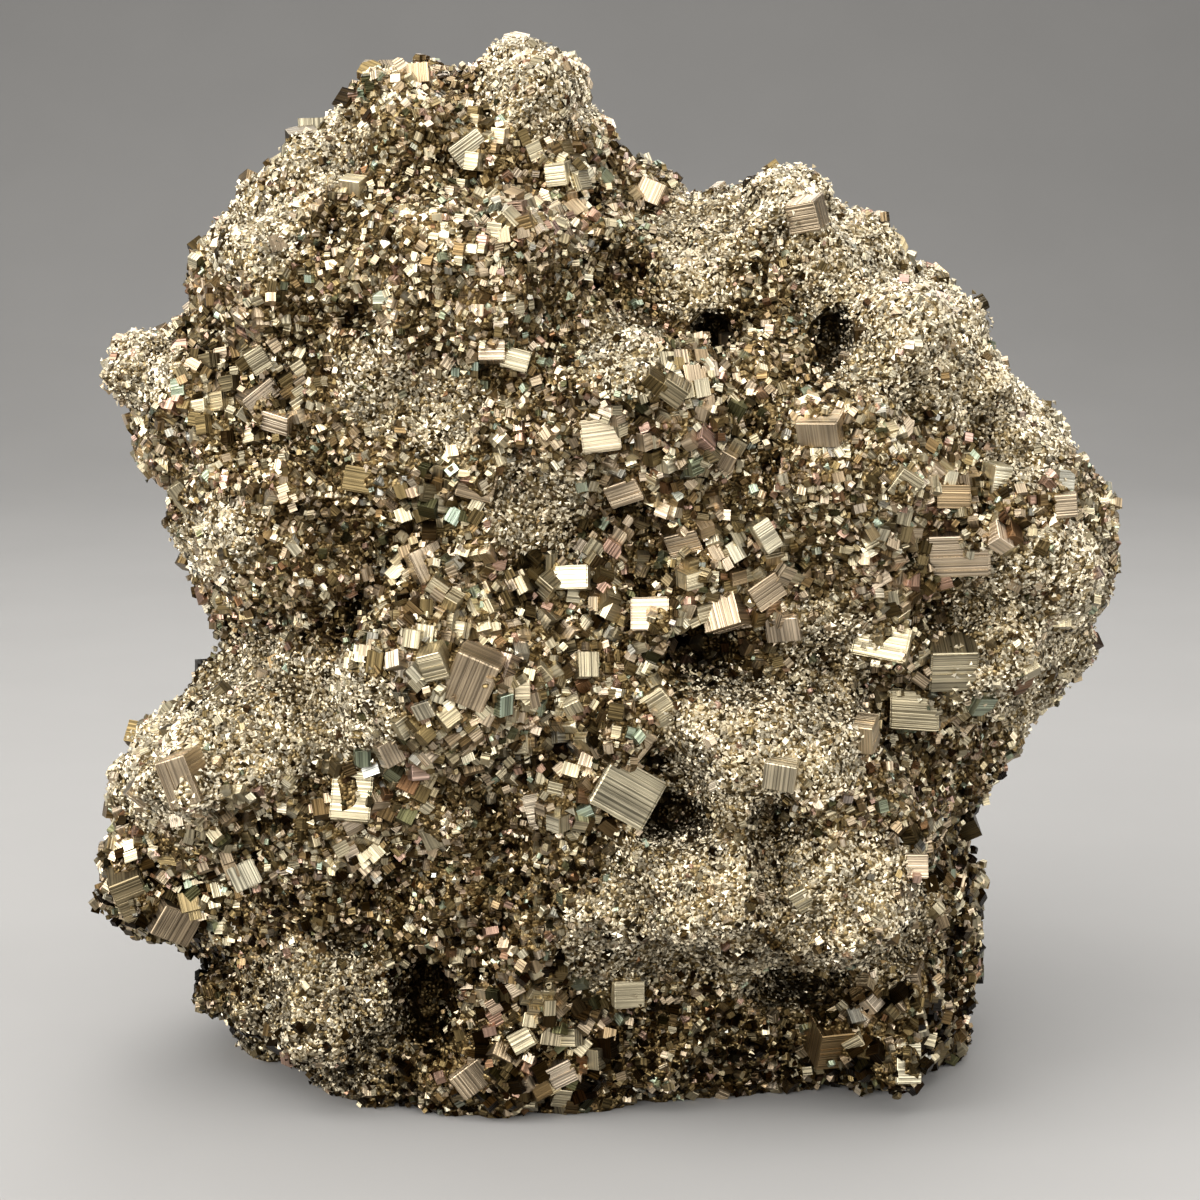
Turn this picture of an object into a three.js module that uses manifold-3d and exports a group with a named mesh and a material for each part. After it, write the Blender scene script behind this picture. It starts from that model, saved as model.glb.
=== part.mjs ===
// A hand-sized pyrite cluster that stands on its own base: one lobed mass of metal-bright crystals grown together,
// with knobs along its crest, ledges and pits on its front, and cubes with flat faces standing out all over.
// Millimetres, +Z up, front towards -Y. The origin is the middle of the footprint's box, on the resting plane.
import * as THREE from "three";
import { ImprovedNoise } from "three/addons/math/ImprovedNoise.js";
import { mergeVertices } from "three/addons/utils/BufferGeometryUtils.js";
import Module from "manifold-3d";

const wasm = await Module();
wasm.setup();

// Driving dimensions

const FRONT_DEPTH = 29; // how far the mass swells in front of its mid plane
const BACK_DEPTH = 33; // and behind it
const BLOCKINESS = 2.7; // power of the rounded profile from front to back: 2 is an ellipse, more is boxier
const OUTLINE_SPARE = 0.7; // the mass may pass its outline by this much, because its facets cut corners
const RIM_DEPTH = 11; // the outline's notches and knobs fade out over this distance in front of and behind the mid plane
const RIM_SPREAD = 0.13; // radians to either side over which they fade into their neighbours
const RIM_LOSS = 6; // and how much less the mass reaches there
const RIM_ROUGHNESS = 1.6; // share of the roughness that it takes there
const RIM_WANDER = { size: 0.6, depth: 20 }; // the rim strays in front of and behind the mid plane
const FLOOR = -65.5; // height of the flat foot, below the point at the middle of the view
const EYE_DISTANCE = 450; // the front is laid out as an eye at this distance sees it
const EYE_TILT = THREE.MathUtils.degToRad(12); // and looks down by this much

const MASS_DETAIL = 13; // how finely the facets of the mass are divided
const KNOB_DETAIL = 1; // and those of a single knob or pit
const KNOB_ROUGHNESS = 0.4; // share of the roughness that a knob or pit takes
const ROUGHNESS = [
  { size: 16, height: 4.2 },
  { size: 8, height: 2.6 },
];

const PYRITE = new THREE.MeshStandardMaterial({ color: "#b5a06a", roughness: 0.32, metalness: 1 });

// The outline as seen from the front, in millimetres across and up from the middle of the view.
const OUTLINE = [
  [-12, 76], [-6, 74.5], [-4, 70], [0, 65], [3, 58], [8, 58], [11, 54], [18, 54.5], [22, 58], [28, 58.5],
  [33, 53.5], [38, 50.5], [41, 46], [48, 44], [52, 39.5], [54.5, 32], [59, 28.5], [64, 22], [69, 13], [70.7, 7],
  [68.5, 0], [65, -7], [63.5, -13], [59, -15.5], [56, -20], [51, -26], [48.5, -33], [50.5, -38], [50, -47],
  [49, -52], [49.8, -58], [47.5, -63], [42, -70], [34, -76], [0, -78], [-30, -76], [-40, -71], [-46, -64],
  [-51, -56], [-53, -52], [-50, -48.5], [-55, -46.5], [-63, -45], [-69, -41], [-67, -35.5], [-65, -30],
  [-68, -28], [-65, -20.5], [-58, -15], [-49, -8], [-53, -2], [-56, 5], [-57.5, 13], [-61.5, 20], [-65, 27],
  [-65.5, 34], [-58.5, 34.5], [-54, 42], [-53.5, 48], [-49, 54], [-44, 61], [-42, 66], [-35, 66.5], [-31, 70.5],
  [-23, 73], [-18, 71.5],
];

// Lobes and ledges of the front: where each is seen, how far out its middle lies, and its half sizes across, up and out.
const FRONT_SWELLS = [
  { name: "crest knob", at: [-9.5, 67.5], out: 5, half: [9, 8.5, 13] },
  { name: "left crest knob", at: [-38, 61.5], out: 7, half: [6.5, 6, 10] },
  { name: "crest saddle", at: [-25, 65], out: 6, half: [8, 7, 13] },
  { name: "right shoulder knob", at: [25, 52.5], out: 6, half: [8, 6.5, 14] },
  { name: "right slope", at: [42, 36], out: 14, half: [12, 9, 15] },
  { name: "right lobe", at: [59, 9], out: 8, half: [11, 16, 18] },
  { name: "right lower lobe", at: [56, -6], out: 14, half: [10, 9, 14] },
  { name: "left arm", at: [-52, 29], out: 8, half: [10, 8, 14] },
  { name: "left upper swell", at: [-43, 47], out: 14, half: [11, 10, 14] },
  { name: "left middle swell", at: [-43, 10], out: 18, half: [12, 11, 14] },
  { name: "left lower lobe", at: [-50, -20], out: 14, half: [16, 10, 19] },
  { name: "left lower tip", at: [-62, -38.5], out: 6, half: [7.5, 6.5, 11] },
  { name: "left foot", at: [-38, -58], out: 13, half: [14, 12, 14] },
  { name: "lower ledge", at: [21, -41], out: 27, half: [24, 8, 13] },
  { name: "middle ledge", at: [24, -19], out: 27, half: [15, 7, 11] },
  { name: "bridge between the ledges", at: [33, -30], out: 24, half: [11, 9, 11] },
  { name: "right foot", at: [39, -60], out: 10, half: [11, 11, 13] },
  { name: "bottom swell", at: [-4, -62], out: 3, half: [20, 10, 15] },
  { name: "middle swell", at: [-20, -10], out: 27, half: [16, 11, 11] },
  { name: "upper swell", at: [-17, 44], out: 22, half: [15, 12, 14] },
  { name: "right middle swell", at: [32, 18], out: 24, half: [14, 11, 13] },
  { name: "centre swell", at: [2, 26], out: 28, half: [13, 9, 10] },
];

// Swells of the back, which the front view doesn't show; out is negative behind the mid plane.
const BACK_SWELLS = [
  { name: "back crest", at: [-20, 52], out: -14, half: [20, 15, 15] },
  { name: "back shoulder", at: [30, 30], out: -22, half: [22, 19, 15] },
  { name: "back left swell", at: [-40, 12], out: -20, half: [20, 20, 16] },
  { name: "back middle swell", at: [-2, -6], out: -29, half: [26, 22, 12] },
  { name: "back right foot", at: [28, -44], out: -22, half: [22, 19, 17] },
  { name: "back left foot", at: [-28, -46], out: -20, half: [24, 18, 17] },
];

// Lumps scattered over them: the ranges of their places, and of their half sizes.
const BACK_LUMPS = { count: 22, across: 52, up: 52, out: [14, 30], half: [6, 13] };

// Knobs too small for the facets of the mass.
const KNOBS = [
  { name: "left arm tip", at: [-62, 31.5], out: 3, half: [4.4, 4.4, 7] },
  { name: "right knob", at: [49.8, -42.6], out: 4, half: [3.2, 3.6, 6] },
  { name: "left foot edge", at: [-50.6, -53], out: 7, half: [3.6, 3.4, 7] },
];

// Pits, holes and dark clefts between the lobes of the front: where each is seen, and its half width, half height and depth.
const PITS = [
  { name: "shoulder pit", at: [16, 36], half: [4.4, 3.4, 13] },
  { name: "shoulder cleft top", at: [26.5, 40], half: [5.6, 2.3, 12] },
  { name: "shoulder cleft side", at: [31.4, 35], half: [2.3, 5.4, 12] },
  { name: "centre valley", at: [5, 8], half: [4, 7, 3.4] },
  { name: "middle pit", at: [14.5, -6.8], half: [5.6, 3.4, 8] },
  { name: "ledge pit", at: [9.5, -31], half: [5.6, 4, 11] },
  { name: "foot hole", at: [-24.5, -54], half: [4.6, 7, 12] },
  { name: "foot cleft", at: [-34, -45.5], half: [9, 2.2, 4] },
  { name: "undercut pit", at: [27, -52.5], half: [7, 3, 9] },
  { name: "left hollow", at: [-48, -31], half: [6, 4, 2.4] },
  { name: "upper hollow", at: [-34, 38], half: [5, 2.4, 2.4] },
  { name: "crest hollow", at: [-22, 61.5], half: [3, 2, 2.4] },
  { name: "crest notch", at: [0.5, 54], half: [5, 2.6, 4] },
  { name: "left cleft", at: [-42, 22.4], half: [7, 1.8, 2.6] },
];

// Large crystals of the front: where each is seen, the width and height of its face, and its turn in the plane of view.
const FRONT_CRYSTALS = [
  // crest and upper left
  { at: [-24.5, 71], face: [2.8, 2.8], roll: 5 }, { at: [-17.3, 70.2], face: [3.2, 2.8], roll: 30 },
  { at: [-18, 61.5], face: [4.6, 3.2], roll: 35 }, { at: [-14, 59.3], face: [3.6, 4.2], roll: -30 },
  { at: [-6, 57.8], face: [3.6, 3], roll: 8 }, { at: [-33.4, 56], face: [3, 2.6], roll: 0 },
  { at: [-52.8, 42], face: [2.8, 3], roll: 8 }, { at: [-46, 33], face: [3.6, 3.2], roll: 30 },
  { at: [-46.2, 27.6], face: [4.8, 3.6], roll: 32 }, { at: [-43.4, 24.8], face: [4.2, 2.8], roll: -5 },
  { at: [-58.6, 26], face: [3.6, 3.2], roll: -35 }, { at: [-32.5, 16.5], face: [3.8, 3.2], roll: -10 },
  { at: [-55.3, 15], face: [4.2, 4], roll: 35 }, { at: [-14.6, 33.6], face: [3.2, 2.6], roll: 0 },
  { at: [-11.4, 32.6], face: [3.4, 2.6], roll: -15 }, { at: [-36, 4], face: [4.2, 4], roll: -30 },
  { at: [-44, 18], face: [3.2, 2.8], roll: 10 }, { at: [-23.6, 5], face: [4.4, 4.2], roll: 25 },
  // centre
  { at: [0.2, 22.4], face: [4.8, 4.2], roll: 8 }, { at: [-17, 16], face: [5, 4.4], roll: -15 },
  { at: [-16.4, 9], face: [4.6, 3.6], roll: 0 }, { at: [-20.6, 3.6], face: [2.8, 4.4], roll: 25 },
  { at: [-3.4, 3], face: [4.4, 3], roll: 0 }, { at: [11.6, 8.6], face: [4.4, 3.2], roll: 22 },
  { at: [3.4, 15.4], face: [4.4, 3.2], roll: 25 }, { at: [22.2, 9], face: [2.4, 4.2], roll: 30 },
  { at: [22, 1.6], face: [4.4, 3.6], roll: 30 }, { at: [17, -1.6], face: [5, 4.4], roll: 15 },
  { at: [25, -3.2], face: [4.4, 3.4], roll: 10 }, { at: [7, -2], face: [4.8, 4.2], roll: 0 },
  { at: [-2, -8.8], face: [2.8, 3.4], roll: 2 }, { at: [7.6, -14], face: [5.4, 5], roll: -55 },
  { at: [3.6, -17.8], face: [5.8, 4.8], roll: -38 }, { at: [-17, -10], face: [5.8, 6.6], roll: -22 },
  { at: [-22.4, -8.2], face: [3.2, 3.8], roll: 20 },
  // right shoulder and right lobe
  { at: [7, 55], face: [3.6, 3.2], roll: -25 }, { at: [28, 52.4], face: [4.2, 4], roll: 15 },
  { at: [18.4, 34.6], face: [3.6, 3], roll: 0 }, { at: [10, 28.6], face: [3.4, 2.8], roll: -35 },
  { at: [30, 23.5], face: [5.4, 3.4], roll: 10 }, { at: [41, 16], face: [3.4, 3.6], roll: -35 },
  { at: [47, 14], face: [4.8, 3], roll: 0 }, { at: [57.6, 12.4], face: [3.6, 4], roll: 20 },
  { at: [53.4, 15.8], face: [2.6, 5.4], roll: -10 }, { at: [48.5, 8], face: [8, 6.4], roll: 5 },
  { at: [63, 13], face: [3, 3], roll: 5 }, { at: [38, 3.6], face: [2.8, 3.2], roll: 30 },
  { at: [38.6, -6], face: [7.2, 4.6], roll: -14 }, { at: [47.6, -8], face: [6.2, 6], roll: 0 },
  { at: [43, -14], face: [6.4, 5.6], roll: 0 }, { at: [36, -18], face: [2.8, 4.2], roll: 5 },
  { at: [24.6, -23], face: [4.2, 3.8], roll: -5 },
  // left lobes
  { at: [-33.4, -26.6], face: [5.2, 6.6], roll: -5 }, { at: [-56, -24], face: [4.6, 6.6], roll: 20 },
  { at: [-56, -33.4], face: [6, 4.2], roll: -2 }, { at: [-63.4, -39], face: [4.6, 6.6], roll: 20 },
  { at: [-58, -43], face: [6, 4.6], roll: -30 }, { at: [-48, -37], face: [3.8, 3.4], roll: 25 },
  { at: [-22, -30], face: [4.4, 5.2], roll: 25 }, { at: [-28.6, -20.6], face: [2.8, 3.2], roll: 25 },
  { at: [-52.4, -52], face: [2.8, 2.6], roll: 30 },
  // lower front
  { at: [-6.4, -27.6], face: [5.8, 4.6], roll: 15 }, { at: [3, -25.6], face: [8, 7], roll: -30 },
  { at: [-4, -33], face: [3, 3], roll: -15 }, { at: [-4, -41], face: [3.8, 3.2], roll: -10 },
  { at: [-10.4, -59.4], face: [3.2, 2.8], roll: 30 }, { at: [-5.4, -63.4], face: [3.6, 3.4], roll: 25 },
  { at: [-17.4, -64], face: [5.4, 3.8], roll: 35 }, { at: [3.6, -53], face: [4.2, 3.6], roll: 0 },
  { at: [27.6, -40], face: [2.6, 4.6], roll: 35 }, { at: [45.6, -40.2], face: [4.2, 4.2], roll: -25 },
  { at: [42.6, -36], face: [3.2, 3.2], roll: 0 }, { at: [42, -51.4], face: [3.8, 3.8], roll: 15 },
  { at: [31, -59.4], face: [5, 6], roll: -8 }, { at: [41, -62.6], face: [3.6, 5.4], roll: 0 },
];

const FACE_SWING = 24; // degrees that a front crystal may turn or lean from facing the viewer
const FACE_PROUD = 0.32; // share of a front crystal that stands out of the mass
const BACK_CRYSTALS = { count: 36, smallest: 3, largest: 6.5, proud: 0.3 };

const random = (low, high) => THREE.MathUtils.lerp(low, high, THREE.MathUtils.seededRandom());
const degrees = THREE.MathUtils.degToRad;

// Where things are

const EYE = new THREE.Vector3(0, -EYE_DISTANCE * Math.cos(EYE_TILT), EYE_DISTANCE * Math.sin(EYE_TILT));

// The point of the view's own plane that is seen at these distances across and up.
const inView = (across, up) => new THREE.Vector3(across, up * Math.sin(EYE_TILT), up * Math.cos(EYE_TILT));

// The point seen there that lies this far in front of the upright mid plane.
function inFront([across, up], out) {
  const seen = inView(across, up);
  return seen.clone().lerp(EYE, (-out - seen.y) / (EYE.y - seen.y));
}

// How far a closed line of points lies from the middle, along a direction in its plane.
function reachOf(line, x, y) {
  let reach = 0;
  line.forEach(([fromX, fromY], i) => {
    const [toX, toY] = line[(i + 1) % line.length];
    const cross = x * (toY - fromY) - y * (toX - fromX);
    const along = (fromX * (toY - fromY) - fromY * (toX - fromX)) / cross;
    const share = (fromX * y - fromY * x) / cross;
    if (along > 0 && share >= 0 && share <= 1) reach = Math.max(reach, along);
  });
  return reach;
}

// Rough ground: bumps of the sizes in ROUGHNESS, as a height at a point.
const noise = new ImprovedNoise();
const roughAt = (p) =>
  ROUGHNESS.reduce((sum, { size, height }) => sum + height * noise.noise(p.x / size, p.y / size, p.z / size), 0);

const UPRIGHT_OUTLINE = OUTLINE.map((place) => inFront(place, 0)).map(({ x, z }) => [x, z]);

// How far behind the mid plane the rim lies, in a direction of that plane.
const rimBehind = (angle) =>
  RIM_WANDER.depth * noise.noise(Math.cos(angle) / RIM_WANDER.size, Math.sin(angle) / RIM_WANDER.size, 0.5);

// 0 at the rim, and nearly 1 where the outline's notches and knobs have faded out.
const rimFade = (depth) => 1 - Math.exp(-((depth / RIM_DEPTH) ** 2));

// How far the mass reaches from its middle, in a direction of the mid plane and at a depth: the outline itself at the
// rim, and a smoother, smaller one away from it.
function rimReach(angle, depth) {
  const at = (turn) => reachOf(UPRIGHT_OUTLINE, Math.cos(angle + turn), Math.sin(angle + turn));
  const smooth = [-2, -1, 0, 1, 2].reduce((sum, step) => sum + at(step * RIM_SPREAD) / 5, -RIM_LOSS);
  return THREE.MathUtils.lerp(at(0) + OUTLINE_SPARE, smooth, rimFade(depth));
}

// A point drawn in sideways until the outline covers it in the view.
function insideOutline(p) {
  const nearness = EYE_DISTANCE / (EYE_DISTANCE - p.dot(EYE) / EYE_DISTANCE);
  const across = p.x * nearness;
  const up = p.dot(inView(0, 1)) * nearness;
  const far = Math.hypot(across, up);
  const fade = rimFade(p.y - rimBehind(Math.atan2(p.z, p.x)));
  const inset = fade * (RIM_LOSS + RIM_ROUGHNESS * roughAt(p)) - OUTLINE_SPARE;
  const share = (reachOf(OUTLINE, across / far, up / far) - inset) / far;
  return share < 1 ? new THREE.Vector3(p.x * share, p.y, p.z * share) : p;
}

// Shapes

// A ball of facets whose points are each moved from their direction on the unit ball to where place() puts them.
function shapedBall(detail, place) {
  const ball = new THREE.IcosahedronGeometry(1, detail);
  ball.deleteAttribute("normal");
  ball.deleteAttribute("uv");
  const shaped = mergeVertices(ball, 1e-3);
  const points = shaped.getAttribute("position");
  for (let i = 0; i < points.count; i++) {
    const direction = new THREE.Vector3().fromBufferAttribute(points, i).normalize();
    const p = place(direction);
    points.setXYZ(i, p.x, p.y, p.z);
  }
  return shaped;
}

function backLumps() {
  const { count, across, up, out, half } = BACK_LUMPS;
  return Array.from({ length: count }, () => ({
    at: [random(-across, across), random(-up, up)],
    out: -random(...out),
    half: [random(...half), random(...half), random(...half)],
  }));
}

const swellOf = ({ at, out, half }) => ({
  middle: inFront(at, out),
  half: new THREE.Vector3(half[0], half[2], half[1]),
});

// How far from the middle of the mass a line in this direction leaves a swell, or 0 where it misses.
function leaves({ middle, half }, direction) {
  const start = middle.clone().negate().divide(half);
  const step = direction.clone().divide(half);
  const a = step.lengthSq();
  const b = step.dot(start);
  const root = b * b - a * (start.lengthSq() - 1);
  return root > 0 ? (Math.sqrt(root) - b) / a : 0;
}

// The mass: a ball stretched to the outline, with a boxy profile from front to back, that bulges where a swell stands out.
function massShape() {
  const swells = [...FRONT_SWELLS, ...BACK_SWELLS, ...backLumps()].map(swellOf);
  return shapedBall(MASS_DETAIL, ({ x, y, z }) => {
    const flat = Math.hypot(x, z);
    const boxy = (flat ** BLOCKINESS + Math.abs(y) ** BLOCKINESS) ** (-1 / BLOCKINESS);
    const depth = y * boxy * (y < 0 ? FRONT_DEPTH : BACK_DEPTH);
    const angle = Math.atan2(z, x);
    const behind = rimBehind(angle) * (flat * boxy) ** 2;
    const reach = flat > 1e-6 ? boxy * rimReach(angle, depth) * (1 + behind / EYE_DISTANCE) : 0;
    const p = new THREE.Vector3(x * reach, depth + behind, z * reach);
    const direction = p.clone().normalize();
    const far = Math.max(p.length(), ...swells.map((swell) => leaves(swell, direction)));
    return insideOutline(direction.multiplyScalar(far + roughAt(p)));
  });
}

// A rough knob or hollow about a point, with half sizes across, up and out.
function knobShape(middle, [across, up, deep]) {
  return shapedBall(KNOB_DETAIL, (direction) => {
    const p = new THREE.Vector3(direction.x * across, direction.y * deep, direction.z * up).add(middle);
    return p.addScaledVector(direction, roughAt(p) * KNOB_ROUGHNESS);
  });
}

// A crystal: a block with flat faces, turned and put in its place.
function crystalShape(size, turn, middle) {
  const block = new THREE.BoxGeometry(...size);
  block.deleteAttribute("normal");
  block.deleteAttribute("uv");
  const placed = new THREE.Matrix4().compose(middle, turn, new THREE.Vector3(1, 1, 1));
  return mergeVertices(block).applyMatrix4(placed);
}

// Solids

const solidOf = (geometry) =>
  new wasm.Manifold(
    new wasm.Mesh({
      numProp: 3,
      vertProperties: new Float32Array(geometry.getAttribute("position").array),
      triVerts: new Uint32Array(geometry.index.array),
    }),
  );

function geometryOf(solid) {
  const mesh = solid.getMesh();
  const geometry = new THREE.BufferGeometry();
  geometry.setAttribute("position", new THREE.BufferAttribute(mesh.vertProperties, 3));
  return geometry.setIndex(new THREE.BufferAttribute(mesh.triVerts, 1));
}

const joined = (solid, shapes) => shapes.reduce((sum, shape) => sum.add(solidOf(shape)), solid);
const cutBy = (solid, shapes) => shapes.reduce((rest, shape) => rest.subtract(solidOf(shape)), solid);

// Crystals stand where a line of sight meets the mass.
const sight = new THREE.Raycaster();

function metBy(mass, from, towards) {
  sight.set(from, towards.clone().sub(from).normalize());
  return sight.intersectObject(mass)[0];
}

function frontCrystals(mass) {
  return FRONT_CRYSTALS.map(({ at, face, roll }) => {
    const met = metBy(mass, EYE, inView(...at));
    const [width, height] = face;
    const deep = (width + height) / 2;
    const swing = [random(-FACE_SWING, FACE_SWING), random(-FACE_SWING, FACE_SWING)].map(degrees);
    const turn = new THREE.Quaternion().setFromEuler(new THREE.Euler(swing[0], degrees(-roll), swing[1], "YXZ"));
    const inward = inView(...at).sub(EYE).normalize();
    const middle = met.point.clone().addScaledVector(inward, deep * (0.5 - FACE_PROUD));
    return crystalShape([width, deep, height], turn, middle);
  });
}

function backCrystals(mass) {
  const { count, smallest, largest, proud } = BACK_CRYSTALS;
  const middle = new THREE.Vector3(0, 0, 4);
  return Array.from({ length: count }, () => {
    const around = degrees(random(14, 166));
    const rise = Math.asin(random(-0.75, 0.72));
    const out = new THREE.Vector3(Math.cos(around) * Math.cos(rise), Math.sin(around) * Math.cos(rise), Math.sin(rise));
    const met = metBy(mass, middle.clone().addScaledVector(out, EYE_DISTANCE), middle);
    const across = random(smallest, largest);
    const size = [across, across * random(0.7, 1), across * random(0.8, 1.2)];
    const turn = new THREE.Quaternion().setFromEuler(
      new THREE.Euler(random(-Math.PI, Math.PI), random(-Math.PI, Math.PI), random(-Math.PI, Math.PI)),
    );
    const centre = met.point.clone().addScaledVector(met.face.normal, across * (proud - 0.5));
    return crystalShape(size, turn, centre);
  });
}

// The cluster

const meshOf = (solid) => new THREE.Mesh(geometryOf(solid), PYRITE);

function clusterGeometry() {
  THREE.MathUtils.seededRandom(11);
  const knobs = KNOBS.map(({ at, out, half }) => knobShape(inFront(at, out), half));
  const whole = joined(solidOf(massShape()), knobs);
  const wholeMesh = meshOf(whole);
  const pits = PITS.map(({ at, half }) => knobShape(metBy(wholeMesh, EYE, inView(...at)).point, half));
  const mass = cutBy(whole, pits);
  const massMesh = meshOf(mass);
  const crystals = [...frontCrystals(massMesh), ...backCrystals(massMesh)];
  const floor = crystalShape([400, 400, 200], new THREE.Quaternion(), new THREE.Vector3(0, 0, FLOOR - 100));
  const standing = joined(mass, crystals).subtract(solidOf(floor));
  const geometry = geometryOf(standing);
  geometry.computeBoundingBox();
  const middle = geometry.boundingBox.getCenter(new THREE.Vector3());
  geometry.translate(-middle.x, -middle.y, -FLOOR);
  geometry.computeVertexNormals();
  return geometry;
}

const specimen = new THREE.Group();
const cluster = new THREE.Mesh(clusterGeometry(), PYRITE);
cluster.name = "pyrite_cluster";
specimen.add(cluster);

export default specimen;
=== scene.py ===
import math

import bpy
import numpy as np
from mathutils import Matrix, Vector
from mathutils.bvhtree import BVHTree


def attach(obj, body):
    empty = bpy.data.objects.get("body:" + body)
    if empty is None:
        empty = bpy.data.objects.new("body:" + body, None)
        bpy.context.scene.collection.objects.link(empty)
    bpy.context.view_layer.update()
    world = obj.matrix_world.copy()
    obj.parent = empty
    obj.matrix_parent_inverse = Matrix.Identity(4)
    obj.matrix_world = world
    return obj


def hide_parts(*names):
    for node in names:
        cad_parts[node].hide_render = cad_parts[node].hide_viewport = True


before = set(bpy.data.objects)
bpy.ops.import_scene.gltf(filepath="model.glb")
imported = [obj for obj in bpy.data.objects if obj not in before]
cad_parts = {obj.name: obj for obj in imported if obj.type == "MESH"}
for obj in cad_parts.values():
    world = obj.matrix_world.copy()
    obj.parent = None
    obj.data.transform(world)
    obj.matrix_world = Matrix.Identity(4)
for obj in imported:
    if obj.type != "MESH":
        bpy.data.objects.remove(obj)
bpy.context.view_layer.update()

bl_info = {
    "name": "Pyrite crystal cluster",
    "version": (1, 0, 0),
    "blender": (4, 5, 0),
    "location": "3D View > Sidebar > Pyrite",
    "description": "Covers the packed pyrite mass with its crystals and grains, in a plain studio",
    "category": "Object",
}

MM = 0.001
NODE = "pyrite_cluster"
BODY = "root"
STRIAE = "striae"  # UV map of every crystal: millimetres across and along its growth lines
GROWTH = "growth"  # attribute of every crystal: its tone, darkened by painted shade in hollows and near the floor, its tint and a number of its own
OPEN = "open"  # attribute of the ground's faces: 0 deep in a hollow, 1 where nothing stands around
FINE = "fine"  # another one: 1 in the sugary patches
SEED = 20
GROUND = "rough_ground"
LARGE = "large_crystals"
SINGLE_FRONT = "single_crystals_front"
SINGLE_BACK = "single_crystals_back"
SAME = 1e-6  # points that are nearer than this, in metres, are the same

# The middle of the view, in the part's frame, and where the eye stands from it.
AIM = np.array((-0.8, -0.9, 65.5)) * MM
EYE_DISTANCE = 450 * MM
EYE_TILT = math.radians(12)
TO_EYE = np.array((0, -math.cos(EYE_TILT), math.sin(EYE_TILT)))
VIEW_UP = np.array((0, math.sin(EYE_TILT), math.cos(EYE_TILT)))

# The lens of the camera and the width of its sensor, in millimetres.
LENS = 99.6
SENSOR = 36

# Where the front is covered by fine grains: across and up in the view, and radius, in millimetres.
FINE_ZONES = (
    (58, -5, 11), (61, -12, 7), (63, 4, 6), (58, 22, 6), (42, 38, 11), (50, 33, 8), (34, 45, 8),
    (10, -40, 10), (24, -43, 11), (36, -42, 9), (18, -20, 9), (28, -18, 8), (31, -6, 6), (2, -46, 7),
    (-38, -57, 10), (-42, -64, 8), (-45, -15, 9), (-34, -15, 6), (-59, -22, 8), (-38, 62, 6), (-62, 32, 5),
    (26, 55, 7), (-7, 71, 8), (-29, 29, 6), (-9, 13, 6), (-21, 25, 5), (14, 50, 6), (-52, 8, 5),
    (-47, 50, 6), (3, 33, 5), (13, 43, 5),
)

# Where its crystals are larger, laid out in the same way.
COARSE_ZONES = (
    (-18, -8, 16), (48, 8, 11), (-58, -34, 11), (1, -24, 10), (42, -10, 9), (-15, 6, 13),
    (-10, 58, 9), (-8, -60, 9), (38, -60, 9), (8, 4, 12), (-50, 30, 9), (-30, -26, 10), (20, -2, 9),
    (45, -38, 7), (10, 24, 9),
)

ZONE_FADE = 0.35  # share of its radius over which a zone fades out
ZONE_AT_RADIUS = 0.9  # what is left of it at the radius itself
ZONE_TURN = 4  # how fast it fades where the surface turns away from the eye
FRONT_TURN = 3  # how fast the front as a whole does
FRONT_AT_EDGE = 0.8  # what is left of the front at the edge of the view

# The ground
PRESSED_FLAT = 1.2 * MM  # ground that is lower lies on the floor
HOLLOW_LINES = 12  # lines that feel how open the ground lies
HOLLOW_REACH = 16 * MM

# Tones, from 0, dark, to 1, pale: the middle and the spread for each kind of crystal
LARGE_TONE = (0.66, 0.2)
SINGLE_TONE = (0.56, 0.34)
SMALL_FRONT_TONE = (0.54, 0.34)
SMALL_BACK_TONE = (0.5, 0.32)
GRAIN_TONE = (0.62, 0.22)
TONE_DROP = 0.4  # no crystal is further below its middle
HOLLOW_SHADE = 0.3  # painted shade: how much darker crystals are drawn deep in a hollow
FOOT_SHADE = 0.4  # painted shade: and how much darker they are drawn low on the cluster, near the floor
FOOT_HEIGHT = 45 * MM  # height above the floor where that painted shade begins
PLAIN_TINTS = 0.84  # tints above this are coloured tarnishes, which large crystals lack

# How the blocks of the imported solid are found
FLAT_WITHIN = math.radians(0.15)  # angle between two parts of one flat face
SQUARE = 0.001  # cosine between two faces of one block
NEARLY_SQUARE = 0.01
HIDDEN_DEPTH = 0.8  # depth over the mean of the other sides, where the far face is hidden
BLOCK_SHORTEST = 0.8 * MM
BLOCK_LONGEST = 8.1 * MM
BLOCKS_LEAST = 20

# The bands on large crystals, as shares of an edge
BANDED_SHAPES = 4
BAND_REACH = 0.42  # how far from the middle a band may end
BAND_RISE = 0.02
LOW_BAND = 0.45  # height of the low bands over that of the high ones
BAND_BEVEL = 0.02
ALONG = 0.99  # cosine above which a face looks along an axis
LEVEL = 1e-4  # faces that are nearer than this to a height lie at it

# Single crystals
PATCH_LOSS = 0.95  # share of them that the sugary patches lose
BACK_CHANCE = 0.1  # chance of one on the back
SMALL_POWER = 3.0  # makes small ones commoner than large ones
SIZE_EVERYWHERE = 0.35  # part of the range of sizes that is found everywhere
SIZE_COARSE = 0.65  # what the coarse zones add
SIZE_BACK = 0.25  # what the back adds
HOLLOW_SIZE = 0.5  # size deep in a hollow over that in the open
EDGE_ON_SIZE = 0.6  # size where the ground is seen edge on over that where it faces the eye
SINGLE_LOWEST = 0.6 * MM
SINGLE_SIDES = (0.72, 1.15)  # range of the three sides over the edge
SINGLE_RISE = (-0.38, 0.1)  # range of the height of the middle above the ground over the edge

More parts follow.
